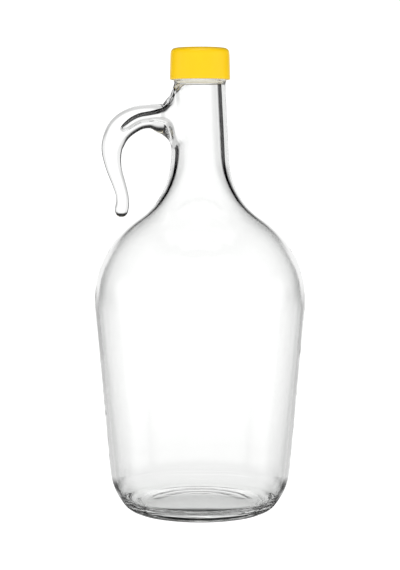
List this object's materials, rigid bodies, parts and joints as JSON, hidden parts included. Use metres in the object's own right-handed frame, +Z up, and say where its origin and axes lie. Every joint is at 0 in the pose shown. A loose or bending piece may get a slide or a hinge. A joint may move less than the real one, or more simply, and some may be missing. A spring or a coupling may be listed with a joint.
{
  "type": "glass jug",
  "caption": "Empty clear glass jug with rounded shoulders, a long neck, a hooked handle that hangs free from the neck, and a smooth yellow plastic screw cap.",
  "frame": {"origin": "middle of the foot ring, at the height of the surface that the jug stands on", "axes": "+Z up along the jug's axis to the cap; the handle is at -X; the picture looks along +Y"},
  "size_m": [0.1378, 0.1378, 0.3025],
  "materials": {
    "clear_glass": "clear, smooth, faintly grey-green in the thick base",
    "yellow_plastic": "smooth moulded satin gloss"
  },
  "bodies": {
    "root": {"glass_jug": "clear_glass", "screw_cap": "yellow_plastic"}
  },
  "joints": []
}
